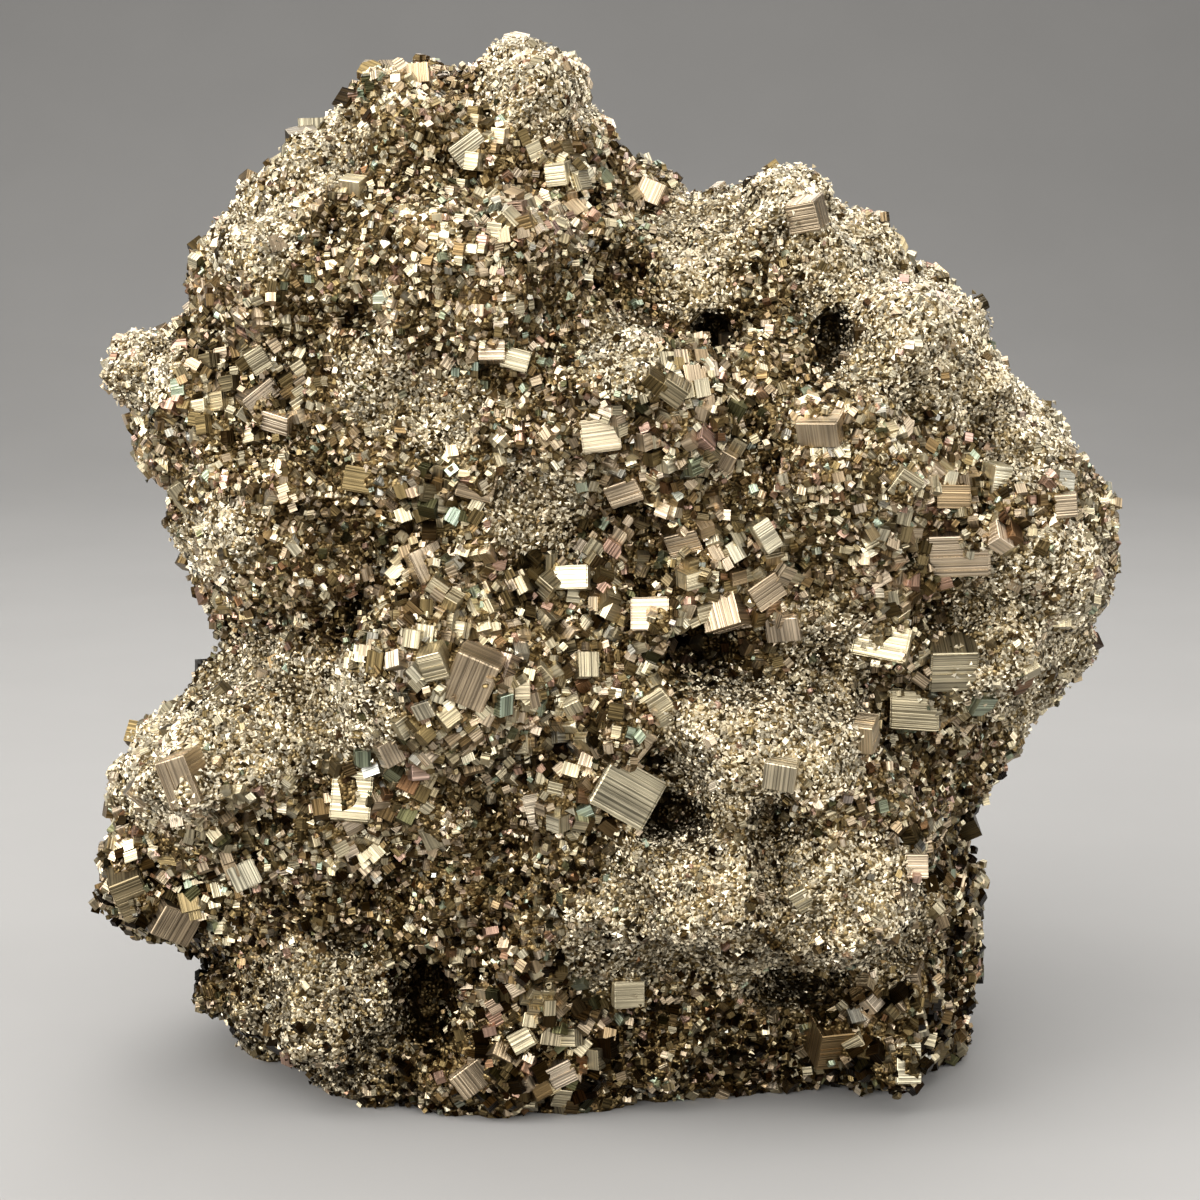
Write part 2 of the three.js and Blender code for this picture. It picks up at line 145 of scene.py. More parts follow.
# Small crystals and grains
SMALL_LOSS = 0.88  # share of the small crystals that the sugary patches lose
SMALL_HOLLOW_SIZE = 0.6
SMALL_LOWEST = 0.4 * MM
SMALL_OPEN = 0.03  # none grow where the ground is less open
SMALL_SCATTER = 0.4  # millimetres from the middle of a face of the ground
SMALL_ROOT = 0.4 * MM  # depth at which one that is inside a larger crystal is left out
SMALL_SPREAD = 0.25  # of the logarithm of their edges
SMALL_SIDES = (0.75, 1.2)
SMALL_SINK = (-0.1, 0.3)  # range of the depth of the middle below the ground over the edge
SMALL_TILT = 0.45  # how far their corners lean from straight out

# The studio: the paper sheet, in metres, the panels and the room
SHEET_SIZE = 2.4
SHEET_MIDDLE = (0, -0.4, 0)
SHEET_RISE = 1.5  # how high it goes up behind
SHEET_BEND = 0.35
SHEET_STEPS = 12  # faces round the bend
PANEL_SPREAD = math.radians(110)
ROOM_COLOUR = (0.9, 0.95, 1.0, 1)  # linear
NEAREST_SEEN = 0.01


def linear(hex_colour):
    """An sRGB hex colour as linear red, green and blue."""
    parts = (int(hex_colour[i:i + 2], 16) / 255 for i in (1, 3, 5))
    return tuple(c / 12.92 if c <= 0.04045 else ((c + 0.055) / 1.055) ** 2.4 for c in parts)


def length(name, description, millimetres):
    """A length that a user may change, given in millimetres."""
    return bpy.props.FloatProperty(
        name=name, description=description, default=millimetres * MM, subtype="DISTANCE", unit="LENGTH"
    )


def number(name, description, value):
    """A share, a brightness or a number to a square millimetre that a user may change."""
    return bpy.props.FloatProperty(name=name, description=description, default=value, min=0)


def colour(name, description, hex_colour):
    """A colour that a user may change."""
    return bpy.props.FloatVectorProperty(
        name=name, description=description, default=linear(hex_colour), subtype="COLOR", min=0, max=1
    )


class GroundSettings(bpy.types.PropertyGroup):
    mesh_size: length("Mesh size", "Edge of a face of the ground between the crystals", 1.5)
    depth: length("Depth", "How far the ground lies below the tips of the grains", 0.3)
    lump_size: length("Lump size", "Distance between the lumps of the ground", 10)
    lump_depth: length("Lump depth", "Depth of the hollows between the lumps", 4.5)
    bump_size: length("Bump size", "Distance between its small bumps", 3.6)
    bump_depth: length("Bump depth", "Depth between its small bumps", 2.2)


class CrystalSettings(bpy.types.PropertyGroup):
    smallest: length("Smallest", "Edge of the smallest single crystals", 0.7)
    largest: length("Largest", "Edge of the largest single crystals that the solid leaves out", 3.0)
    bevelled: length("Bevelled", "Crystals with a longer edge have bevels", 2.3)
    tries: bpy.props.IntProperty(
        name="Tries", description="Places tried for single crystals", default=27000, min=1
    )
    gap: number("Gap", "Least distance between two crystals over the sum of their half edges", 0.55)
    parallel: number("Parallel", "Share of the crystals that lie parallel to a larger neighbour", 0.5)


class GrainSettings(bpy.types.PropertyGroup):
    fine: length("Fine", "Edge of a grain in the sugary patches", 0.52)
    fine_density: number("Fine grains", "Grains to a square millimetre of the sugary patches", 7.4)
    small: length("Small", "Edge of a small crystal elsewhere on the front", 0.85)
    small_density: number("Small crystals", "Small crystals to a square millimetre of the front", 2.2)
    back: length("Back", "Edge of a small crystal on the back", 1.9)
    back_density: number("Back crystals", "Small crystals to a square millimetre of the back", 0.28)


class PyriteColours(bpy.types.PropertyGroup):
    pale: colour("Pale", "Clean crystal faces", "#e6dcc4")
    brass: colour("Brass", "Most crystal faces", "#cabda1")
    brown: colour("Brown", "Tarnished faces", "#897652")
    # the darkest tone, which painted shade draws faces and ground toward deep in the hollows
    dark: colour("Dark", "Faces deep in the hollows", "#1f1507")
    clean: colour("Clean", "Tint of untarnished crystals", "#fffef6")
    tan: colour("Tan", "Tint of faintly tarnished crystals", "#fff4ee")
    rose: colour("Rose", "Tint of a red tarnish", "#f0d2d4")
    steel: colour("Steel", "Tint of a grey tarnish", "#dfe7f6")
    teal: colour("Teal", "Tint of a green tarnish", "#d4eeee")
    ground: colour("Ground", "Rough ground between the crystals", "#58472b")


class StudioSettings(bpy.types.PropertyGroup):
    floor: colour("Floor", "The paper that the cluster stands on", "#7d7b78")
    key: number("Key light", "Brightness of the panel above the front", 1.65)
    top: number("Top light", "Brightness of the panel overhead", 1.5)
    fill: number("Fill light", "Brightness of the panel above the camera", 1.0)
    side: number("Side lights", "Brightness of each side panel", 1.5)
    back: number("Back light", "Brightness of the panel behind", 1.7)
    sky: number("Sky", "Brightness of the room", 0.04)


# Making meshes


def alone(ob):
    """Makes an object the only selected one, and active."""
    bpy.ops.object.select_all(action="DESELECT")
    ob.select_set(True)
    bpy.context.view_layer.objects.active = ob


def merged_copy(name):
    """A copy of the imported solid, with the corners of its triangles merged."""
    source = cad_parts[NODE]
    copy = bpy.data.objects.new(name, source.data.copy())
    bpy.context.scene.collection.objects.link(copy)
    alone(copy)
    bpy.ops.object.mode_set(mode="EDIT")
    bpy.ops.mesh.select_all(action="SELECT")
    bpy.ops.mesh.remove_doubles(threshold=SAME)
    bpy.ops.object.mode_set(mode="OBJECT")
    return copy


def finish_modifier(ob, name, kind, **settings):
    """Adds a modifier and applies it."""
    modifier = ob.modifiers.new(name, kind)
    for key, value in settings.items():
        setattr(modifier, key, value)
    alone(ob)
    bpy.ops.object.modifier_apply(modifier=name)


def drawn_in(ob, name, kind, size, depth):
    """Draws the surface in and out by a pattern of this kind and size, by this depth from end to end."""
    pattern = bpy.data.textures.new(name, kind)
    pattern.noise_scale = size
    finish_modifier(
        ob, name, "DISPLACE", texture=pattern, texture_coords="LOCAL", strength=-depth, mid_level=0.5
    )
    bpy.data.textures.remove(pattern)


def piece(ob, material):
    """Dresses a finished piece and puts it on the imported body."""
    ob.data.materials.clear()
    ob.data.materials.append(material)
    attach(ob, BODY)
    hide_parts(NODE)


def select_only(ob, kind, test):
    """Selects the faces or edges that pass a test, and leaves the object in edit mode."""
    bpy.ops.object.mode_set(mode="EDIT")
    bpy.ops.mesh.select_mode(type=kind)
    bpy.ops.mesh.select_all(action="DESELECT")
    bpy.ops.object.mode_set(mode="OBJECT")
    for part in ob.data.polygons if kind == "FACE" else ob.data.edges:
        part.select = test(part)
    bpy.ops.object.mode_set(mode="EDIT")


class Shape:
    """A model crystal, one unit across, as arrays that copies are made from."""

    def __init__(self, ob):
        mesh = ob.data
        points = np.array([v.co for v in mesh.vertices])
        # corners and faces in a fixed order, so that every run draws the same crystals
        order = np.lexsort(points.round(6).T)
        rank = np.argsort(order)
        faces = []
        for face in mesh.polygons:
            corners = [int(rank[i]) for i in face.vertices]
            first = corners.index(min(corners))
            facing = int(np.abs(np.array(face.normal)).round(3).argmax())
            faces.append((corners[first:] + corners[:first], facing))
        faces.sort()
        self.points = points[order]
        self.corners = np.concatenate([corners for corners, _ in faces])
        self.totals = np.array([len(corners) for corners, _ in faces])
        facing = np.repeat([facing for _, facing in faces], self.totals)
        self.across = (facing + 1) % 3
        self.along = (facing + 2) % 3
        bpy.data.objects.remove(ob)
        bpy.data.meshes.remove(mesh)


def model_cube():
    """A plain unit cube, alone and in edit mode."""
    bpy.ops.object.select_all(action="DESELECT")
    bpy.ops.mesh.primitive_cube_add(size=1)
    bpy.ops.object.mode_set(mode="EDIT")
    bpy.ops.mesh.select_all(action="SELECT")
    return bpy.context.object


def cut_corner(normal, distance):
    """Cuts away what lies further out than a plane, and closes the cut."""
    bpy.ops.mesh.select_all(action="SELECT")
    normal = Vector(normal).normalized()
    bpy.ops.mesh.bisect(plane_co=normal * distance, plane_no=normal, use_fill=True, clear_outer=True)


def cut_shape(cuts=(), bevel=0):
    """A cube with some corners cut off, and with narrow bevels or sharp edges."""
    ob = model_cube()
    for normal, distance in cuts:
        cut_corner(normal, distance)
    if bevel:
        bpy.ops.mesh.select_all(action="SELECT")
        bpy.ops.mesh.bevel(offset=bevel, segments=1, affect="EDGES")
    bpy.ops.object.mode_set(mode="OBJECT")
    return Shape(ob)


def corner_shape():
    """The corner of a cube that stands out of the ground, pointing along its diagonal."""
    cut_from_middle = 0.35
    sunk = 0.45
    ob = model_cube()
    diagonal = Vector((1, 1, 1)).normalized()
    cut_corner(-diagonal, -cut_from_middle)
    bpy.ops.mesh.select_all(action="SELECT")
    bpy.ops.transform.translate(value=diagonal * -sunk)
    bpy.ops.object.mode_set(mode="OBJECT")
    return Shape(ob)


def stepped_shape(cuts, rise):
    """A cube whose faces carry raised bands, as a pyrite cube does. The bands of each pair of faces run
    square to those of the next pair."""
    ob = model_cube()
    bpy.ops.transform.resize(value=(1 - 2 * rise,) * 3)
    bpy.ops.mesh.bevel(offset=BAND_BEVEL, segments=1, affect="EDGES")
    for axis in range(3):
        across = (axis + 1) % 3
        for cut in cuts[axis]:
            select_only(ob, "FACE", lambda face: abs(face.normal[axis]) > ALONG)
            place = Vector()
            place[across] = cut
            normal = Vector()
            normal[across] = 1
            bpy.ops.mesh.bisect(plane_co=place, plane_no=normal)
        edges = (-1, *cuts[axis], 1)
        bands = list(zip(edges, edges[1:]))
        for share, chosen in ((1, bands[::2]), (LOW_BAND, bands[1::4])):
            select_only(
                ob,
                "FACE",
                lambda face: abs(face.normal[axis]) > ALONG
                and abs(abs(face.center[axis]) - 0.5 + rise) < LEVEL
                and any(low < face.center[across] < high for low, high in chosen),
            )
            bpy.ops.mesh.extrude_region_shrink_fatten(TRANSFORM_OT_shrink_fatten={"value": rise * share})
    bpy.ops.object.mode_set(mode="OBJECT")
    return Shape(ob)


def turns(count, rng):
    """Random rotations, as matrices."""
    w, x, y, z = rng.normal(size=(4, count))
    size = np.sqrt(w * w + x * x + y * y + z * z)
    w, x, y, z = w / size, x / size, y / size, z / size
    rows = (
        (1 - 2 * (y * y + z * z), 2 * (x * y - w * z), 2 * (x * z + w * y)),
        (2 * (x * y + w * z), 1 - 2 * (x * x + z * z), 2 * (y * z - w * x)),
        (2 * (x * z - w * y), 2 * (y * z + w * x), 1 - 2 * (x * x + y * y)),
    )
    return np.array(rows).transpose(2, 0, 1)


def corners_out(normals, tilt, rng):
    """Rotations that point a cube's corner along each normal, give or take a tilt, with a random spin."""
    out = normals + rng.normal(0, tilt, normals.shape)
    out /= np.linalg.norm(out, axis=1)[:, None]
    side = np.cross(out, rng.normal(size=out.shape))
    side /= np.linalg.norm(side, axis=1)[:, None]
    axes = np.stack((out, side, np.cross(out, side)), axis=2)
    corner = np.array(((1, 1, 1), (1, -1, 0), (1, 1, -2))) / np.sqrt((3, 2, 6))[:, None]
    return axes @ corner


def copies(shape, middles, turned, sizes, growth):
    """Arrays of many copies of a shape, each turned, sized and put in its place."""
    count = len(middles)
    local = shape.points[None] * sizes[:, None]
    points = np.einsum("nij,nkj->nki", turned, local) + middles[:, None]
    points[..., 2] = np.maximum(points[..., 2], 0)
    offsets = np.arange(count)[:, None] * len(shape.points)
    uv = np.stack(
        (local[:, shape.corners, shape.across], local[:, shape.corners, shape.along]), axis=-1
    )
    return {
        "points": points.reshape(-1, 3),
        "corners": (shape.corners[None] + offsets).ravel(),
        "totals": np.tile(shape.totals, count),
        "uv": (uv / MM).reshape(-1, 2),
        "growth": np.repeat(growth, len(shape.points), axis=0),
    }


def joined_piece(name, batches):
    """One mesh object from several arrays of copies."""
    shift = 0
    corners = []
    for batch in batches:
        corners.append(batch["corners"] + shift)
        shift += len(batch["points"])
    kinds = ("points", "totals", "uv", "growth")
    whole = {kind: np.concatenate([batch[kind] for batch in batches]) for kind in kinds}
    corners = np.concatenate(corners)
    mesh = bpy.data.meshes.new(name)
    mesh.vertices.add(len(whole["points"]))
    mesh.vertices.foreach_set("co", whole["points"].astype(np.float32).ravel())
    mesh.loops.add(len(corners))
    mesh.loops.foreach_set("vertex_index", corners.astype(np.int32))
    mesh.polygons.add(len(whole["totals"]))
    starts = np.concatenate(((0,), np.cumsum(whole["totals"])[:-1]))
    mesh.polygons.foreach_set("loop_start", starts.astype(np.int32))
    layer = mesh.uv_layers.new(name=STRIAE)
    layer.uv.foreach_set("vector", whole["uv"].astype(np.float32).ravel())
    attribute = mesh.attributes.new(GROWTH, "FLOAT_VECTOR", "POINT")
    attribute.data.foreach_set("vector", whole["growth"].astype(np.float32).ravel())
    mesh.update(calc_edges=True)
    mesh.validate()
    mesh.shade_flat()
    ob = bpy.data.objects.new(name, mesh)
    bpy.context.scene.collection.objects.link(ob)
    return ob


def crystals_piece(name, material, shapes, kinds, chosen, *arrays):
    """One piece of the chosen crystals, each a copy of the shape of its kind. The arrays hold the middles,
    turns, sizes and growth of all the crystals."""
    batches = []
    for kind, shape in enumerate(shapes):
        mine = chosen & (kinds == kind)
        batches.append(copies(shape, *(array[mine] for array in arrays)))
    piece(joined_piece(name, batches), material)


# Where crystals grow


def in_view(points):
    """How far across and up points are seen in the view, in millimetres."""
    from_aim = points - AIM
    near = EYE_DISTANCE / (EYE_DISTANCE - from_aim @ TO_EYE)
    return np.stack((from_aim[:, 0] * near, from_aim @ VIEW_UP * near), axis=1) / MM


def in_zones(points, normals, zones):
    """How much points lie in zones of the front, from 0 to 1."""
    seen = in_view(points)
    share = np.zeros(len(points))
    for across, up, radius in zones:
        distance = np.hypot(seen[:, 0] - across, seen[:, 1] - up)
        inside = (radius - distance) / (ZONE_FADE * radius) + ZONE_AT_RADIUS
        share = np.maximum(share, np.clip(inside, 0, 1))
    return share * np.clip(normals @ TO_EYE * ZONE_TURN + 1, 0, 1)


def mark_faces(ob, name, values):
    """Gives every face of an object a value."""
    attribute = ob.data.attributes.new(name, "FLOAT", "FACE")
    attribute.data.foreach_set("value", values)


def mark_hollows(ob, lines, reach):
    """Marks how open each face of the ground lies: the share of these lines from it that meet nothing within
    reach."""
    tree = BVHTree.FromObject(ob, bpy.context.evaluated_depsgraph_get())
    clear = 0.2 * MM
    shares = []
    for face in ob.data.polygons:
        start = face.center + face.normal * clear
        outward = [line if line.dot(face.normal) > 0 else -line for line in lines]
        met = sum(tree.ray_cast(start, line, reach)[0] is not None for line in outward)
        shares.append(1 - met / len(lines))
    mark_faces(ob, OPEN, shares)


class Surface:
    """The faces of the ground, as places for crystals."""

    def __init__(self, ob):
        faces = ob.data.polygons
        self.areas = np.empty(len(faces))
        faces.foreach_get("area", self.areas)
        self.open = np.empty(len(faces))
        ob.data.attributes[OPEN].data.foreach_get("value", self.open)
        self.places = np.array([f.center for f in faces])
        self.normals = np.array([f.normal for f in faces])
        self.fine = in_zones(self.places, self.normals, FINE_ZONES)
        self.coarse = in_zones(self.places, self.normals, COARSE_ZONES)
        self.front = np.clip(self.normals @ TO_EYE * FRONT_TURN + FRONT_AT_EDGE, 0, 1)
        # painted shade: crystals are drawn darker deep in hollows and low on the cluster near the floor
        low = np.clip((FOOT_HEIGHT - self.places[:, 2]) / FOOT_HEIGHT, 0, 1)
        self.painted_shade = HOLLOW_SHADE * (1 - self.open) + FOOT_SHADE * low


def flat_blocks():
    """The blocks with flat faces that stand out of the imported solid: middles, axes as columns, and sizes."""
    copy = merged_copy("flat_blocks")
    bpy.ops.object.mode_set(mode="EDIT")
    bpy.ops.mesh.select_all(action="SELECT")
    bpy.ops.mesh.dissolve_limited(angle_limit=FLAT_WITHIN)
    bpy.ops.object.mode_set(mode="OBJECT")
    mesh = copy.data
    faces = list(mesh.polygons)
    beside = {}
    for face in faces:
        for key in face.edge_keys:
            beside.setdefault(key, []).append(face.index)
    group = list(range(len(faces)))

    def root(i):
        while group[i] != i:
            i = group[i]
        return i

    for pair in beside.values():
        if len(pair) == 2:
            one, other = (faces[i] for i in pair)
            square = abs(one.normal.dot(other.normal)) < SQUARE
            if square and one.normal.dot(other.center - one.center) < 0:
                group[root(one.index)] = root(other.index)
    members = {}
    for face in faces:
        members.setdefault(root(face.index), []).append(face)
    blocks = []
    for found in members.values():
        if len(found) < 3:
            continue
        found.sort(key=lambda face: -face.area)
        first = found[0].normal
        second = next((f.normal for f in found if abs(f.normal.dot(first)) < NEARLY_SQUARE), None)
        if second is None:
            continue
        axes = np.array((first, second, first.cross(second)))
        corners = np.array([mesh.vertices[i].co for face in found for i in face.vertices]) @ axes.T
        low = corners.min(0)
        high = corners.max(0)
        for axis in range(3):
            signs = {round(float(np.dot(face.normal, axes[axis]))) for face in found} - {0}
            if len(signs) == 1:
                others = [high[i] - low[i] for i in range(3) if i != axis]
                deep = max(high[axis] - low[axis], HIDDEN_DEPTH * sum(others) / 2)
                if signs == {1}:
                    low[axis] = high[axis] - deep
                else:
                    high[axis] = low[axis] + deep
        size = high - low
        if size.min() > BLOCK_SHORTEST and size.max() < BLOCK_LONGEST:
            blocks.append((axes.T @ ((low + high) / 2), axes.T, size))
    bpy.data.objects.remove(copy)
    bpy.data.meshes.remove(mesh)
    return [np.array(column) for column in zip(*blocks)]


def crystal_tree(names):
    """A search tree of all the faces of some pieces."""
    points = []
    faces = []
    for name in names:
        mesh = bpy.data.objects[name].data
        shift = len(points)
        points.extend(vertex.co for vertex in mesh.vertices)
        faces.extend([shift + i for i in face.vertices] for face in mesh.polygons)
    return BVHTree.FromPolygons(points, faces)


def buried(places, normals, tree):
    """Which places lie inside a crystal: there, the first face that a line outwards meets is seen from
    behind."""
    found = np.zeros(len(places), bool)
    for i, (place, normal) in enumerate(zip(places, normals)):
        _, faced, _, _ = tree.ray_cast(place, normal)
        found[i] = faced is not None and faced.dot(normal) > 0
    return found


def spaced_out(places, sizes, free, gap, cell):
    """Which crystals are kept, the largest first, when those too near to a larger one are left out, and the
    nearest larger one to each, or -1."""
    kept = []
    beside = []
    grid = {}
    for i in np.argsort(-sizes):
        if not free[i]:
            continue
        key = tuple((places[i] // cell).astype(int))
        around = [
            j
            for x in (-1, 0, 1)
            for y in (-1, 0, 1)
            for z in (-1, 0, 1)
            for j in grid.get((key[0] + x, key[1] + y, key[2] + z), ())
        ]
        nearest = -1
        if around:
            distance = np.linalg.norm(places[around] - places[i], axis=1)
            if np.any(distance < gap * (sizes[around] + sizes[i]) / 2):
                continue
            nearest = around[distance.argmin()]
        grid.setdefault(key, []).append(i)
        kept.append(i)
        beside.append(nearest)
    return np.array(kept), beside


def tones(count, rng, middle, spread):
    """The growth attribute of some crystals: tone, tint and a number of their own."""
    darkest = np.maximum(middle - TONE_DROP, 0)
    tone = np.clip(rng.normal(middle, spread, count), darkest, 1)
    return np.stack((tone, rng.random(count), rng.random(count)), axis=1)


# Materials


def node(tree, kind, inputs=None, stops=(), **settings):
    """Adds a shader node with its settings. Inputs are values, or sockets to link, and stops are the places
    and linear colours of a ramp."""
    made = tree.nodes.new("ShaderNode" + kind)
    for key, value in settings.items():
        setattr(made, key, value)
    for key, value in (inputs or {}).items():
        if isinstance(value, bpy.types.NodeSocket):
            tree.links.new(value, made.inputs[key])
        else:
            made.inputs[key].default_value = value
    for i, (place, rgb) in enumerate(stops):
        elements = made.color_ramp.elements
        element = elements[i] if i < len(elements) else elements.new(place)
        element.position = place
        element.color = (*rgb, 1)
    return made


def empty_material(name):
    """A new material without nodes, and its node tree."""
    material = bpy.data.materials.new(name)
    material.use_nodes = True
    material.node_tree.nodes.clear()
    return material, material.node_tree


def faces_material():
    """Pyrite, grown crystal faces: bright metal with fine parallel growth lines, bumped in relief and with
    their light and dark stripes also painted into the colour as painted shade and highlight, pale brass with
    brown, rose, green and grey tarnish from crystal to crystal."""
    name = "pyrite_grown_crystal_faces"
    if name in bpy.data.materials:
        return bpy.data.materials[name]
    line_spacing = 0.32  # millimetres, as in the map of the growth lines
    band_width = 1.8
    lines_length = 61.0
    patch_size = 6 * MM
    colours = bpy.context.scene.pyrite_colours
    material, tree = empty_material(name)
    uv = node(tree, "UVMap", uv_map=STRIAE).outputs["UV"]
    across = node(tree, "SeparateXYZ", {"Vector": uv}).outputs["X"]
    growth = node(tree, "Attribute", attribute_name=GROWTH).outputs["Vector"]
    own = node(tree, "SeparateXYZ", {"Vector": growth})
    # each crystal has its own stretch of the growth lines
    shift = node(tree, "Math", {0: own.outputs["Z"], 1: lines_length}, operation="MULTIPLY").outputs[0]
    place = node(tree, "Math", {0: across, 1: shift}, operation="ADD").outputs[0]
    # growth lines run straight across a face, in bands
    lines = node(
        tree,
        "TexNoise",
        {"W": place, "Scale": 1 / line_spacing, "Detail": 2.0, "Roughness": 0.6},
        noise_dimensions="1D",
    ).outputs["Fac"]
    bands = node(
        tree, "TexNoise", {"W": place, "Scale": 1 / band_width, "Detail": 1.0}, noise_dimensions="1D"
    ).outputs["Fac"]
    strong = node(tree, "MapRange", {"Value": lines, "From Min": 0.40, "From Max": 0.56}).outputs["Result"]
    tone = node(
        tree,
        "ValToRGB",
        {"Fac": own.outputs["X"]},
        stops=(
            (0.0, colours.dark), (0.25, colours.brown), (0.48, colours.brass), (0.66, colours.brass),
            (0.95, colours.pale),
        ),
    ).outputs["Color"]
    tint = node(
        tree,
        "ValToRGB",
        {"Fac": own.outputs["Y"]},
        stops=(
            (0.0, colours.clean), (0.45, colours.clean), (0.55, colours.tan), (PLAIN_TINTS, colours.tan),
            (0.87, colours.rose), (0.91, colours.rose), (0.92, colours.steel), (0.95, colours.steel),
            (0.96, colours.teal),
        ),
    ).outputs["Color"]
    base = node(
        tree, "Mix", {"Factor": 1.0, "A": tone, "B": tint}, data_type="RGBA", blend_type="MULTIPLY"
    ).outputs[2]
    # tarnish lies in patches
    coords = node(tree, "TexCoord").outputs["Object"]
    patches = node(
        tree, "TexNoise", {"Vector": coords, "Scale": 1 / patch_size, "Detail": 1.0}
    ).outputs["Fac"]
    dull = node(
        tree,
        "MapRange",
        {"Value": patches, "From Min": 0.35, "From Max": 0.7, "To Min": 0.66, "To Max": 1.1},
    ).outputs["Result"]
    # painted shade of the growth lines: deep on some crystals, faint on others, as if some were deeply grooved
    # and some nearly smooth
    stripe_shade_depth = node(
        tree, "MapRange", {"Value": own.outputs["Z"], "To Min": 0.35, "To Max": 0.92}
    ).outputs["Result"]
    # painted shade and highlight along the growth lines: darker in the grooves and a little brighter on the
    # ridges, beside the real bump below
    painted_stripes = node(tree, "MapRange", {"Value": strong, "To Min": stripe_shade_depth, "To Max": 1.08}).outputs["Result"]
    band = node(
        tree,
        "MapRange",
        {"Value": bands, "From Min": 0.35, "From Max": 0.65, "To Min": 0.7, "To Max": 1.05},
    ).outputs["Result"]
    shade = node(tree, "Math", {0: dull, 1: painted_stripes}, operation="MULTIPLY").outputs[0]
    shade = node(tree, "Math", {0: shade, 1: band}, operation="MULTIPLY").outputs[0]
    final = node(
        tree, "Mix", {"Factor": 1.0, "A": base, "B": shade}, data_type="RGBA", blend_type="MULTIPLY"
    ).outputs[2]
    rough = node(tree, "MapRange", {"Value": patches, "To Min": 0.26, "To Max": 0.44}).outputs["Result"]
    bump = node(tree, "Bump", {"Height": strong, "Strength": 1.0, "Distance": 0.04 * MM}).outputs["Normal"]
    shader = node(
        tree,
        "BsdfPrincipled",
        {"Base Color": final, "Metallic": 1.0, "Roughness": rough, "Normal": bump},
    )
    node(tree, "OutputMaterial", {"Surface": shader.outputs[0]})
    return material


def grains_material():
    """Pyrite, fine sugary grains: the same metal, broken up so finely that it looks frosted and paler."""
    clump_size = 3 * MM
    colours = bpy.context.scene.pyrite_colours
    material, tree = empty_material("pyrite_sugary_grains")
    growth = node(tree, "Attribute", attribute_name=GROWTH).outputs["Vector"]
    own = node(tree, "SeparateXYZ", {"Vector": growth})
    base = node(
        tree,
        "ValToRGB",
        {"Fac": own.outputs["X"]},
        stops=((0.0, colours.dark), (0.4, colours.brass), (0.75, colours.pale)),
    ).outputs["Color"]
    # painted light and shade of the clumps the grains grow in: some patches of grains are drawn darker and
    # others brighter
    coords = node(tree, "TexCoord").outputs["Object"]
    clump_light_and_shade = node(
        tree, "TexNoise", {"Vector": coords, "Scale": 1 / clump_size, "Detail": 1.0}
    ).outputs["Fac"]
    dull = node(
        tree,
        "MapRange",
        {"Value": clump_light_and_shade, "From Min": 0.35, "From Max": 0.62, "To Min": 0.55, "To Max": 1.08},
    ).outputs["Result"]
    final = node(
        tree, "Mix", {"Factor": 1.0, "A": base, "B": dull}, data_type="RGBA", blend_type="MULTIPLY"
    ).outputs[2]
    rough = node(
        tree, "MapRange", {"Value": own.outputs["Z"], "To Min": 0.46, "To Max": 0.72}
    ).outputs["Result"]
    shader = node(tree, "BsdfPrincipled", {"Base Color": final, "Metallic": 1.0, "Roughness": rough})
    node(tree, "OutputMaterial", {"Surface": shader.outputs[0]})
    return material


def ground_material():
    """Pyrite, massive and granular: brownish metal with a broken, sparkling surface between the crystals, with
    painted shade in the hollows.
    """
    grain_size = 0.55 * MM
    colours = bpy.context.scene.pyrite_colours
    material, tree = empty_material("pyrite_granular_ground")
    coords = node(tree, "TexCoord").outputs["Object"]
    grains = node(tree, "TexVoronoi", {"Vector": coords, "Scale": 1 / grain_size})
    spread = node(tree, "SeparateColor", {"Color": grains.outputs["Color"]}).outputs[0]
    base = node(
        tree,
        "ValToRGB",
        {"Fac": spread},
        stops=((0.0, colours.dark), (0.5, colours.ground), (1.0, colours.brown)),
    ).outputs["Color"]
    opened = node(tree, "Attribute", attribute_name=OPEN).outputs["Fac"]
    fine = node(tree, "Attribute", attribute_name=FINE).outputs["Fac"]
    sugar = node(
        tree,
        "ValToRGB",
        {"Fac": spread},
        stops=((0.0, colours.dark), (0.6, colours.brown), (1.0, colours.brass)),
    ).outputs["Color"]
    base = node(tree, "Mix", {"Factor": fine, "A": base, "B": sugar}, data_type="RGBA").outputs[2]
    # painted shade: the ground is drawn toward the dark colour where it lies deep in a hollow
    clear = node(tree, "MapRange", {"Value": opened, "To Min": 0.3}).outputs["Result"]
    base = node(
        tree, "Mix", {"Factor": clear, "A": (*colours.dark, 1), "B": base}, data_type="RGBA"
    ).outputs[2]
    bump = node(
        tree,
        "Bump",
        {"Height": grains.outputs["Distance"], "Strength": 1.0, "Distance": 0.3 * MM},
        invert=True,
    ).outputs["Normal"]
    shader = node(
        tree, "BsdfPrincipled", {"Base Color": base, "Metallic": 1.0, "Roughness": 0.42, "Normal": bump}
    )
    node(tree, "OutputMaterial", {"Surface": shader.outputs[0]})
    return material


def paper_material():
    """Matte paper, rolled: a pale, even sheet with a faint mottle."""
    mottle_size = 40 * MM
    mottle_shade = 0.96
    material, tree = empty_material("paper_matte_sheet")
    coords = node(tree, "TexCoord").outputs["Object"]
    mottle = node(
        tree, "TexNoise", {"Vector": coords, "Scale": 1 / mottle_size, "Detail": 4.0}
    ).outputs["Fac"]
    floor = Vector(bpy.context.scene.pyrite_studio.floor)
    base = node(
        tree, "ValToRGB", {"Fac": mottle}, stops=((0.3, floor * mottle_shade), (0.7, floor))
    ).outputs["Color"]
    shader = node(tree, "BsdfPrincipled", {"Base Color": base, "Roughness": 0.85})
    node(tree, "OutputMaterial", {"Surface": shader.outputs[0]})
    return material


# Operators


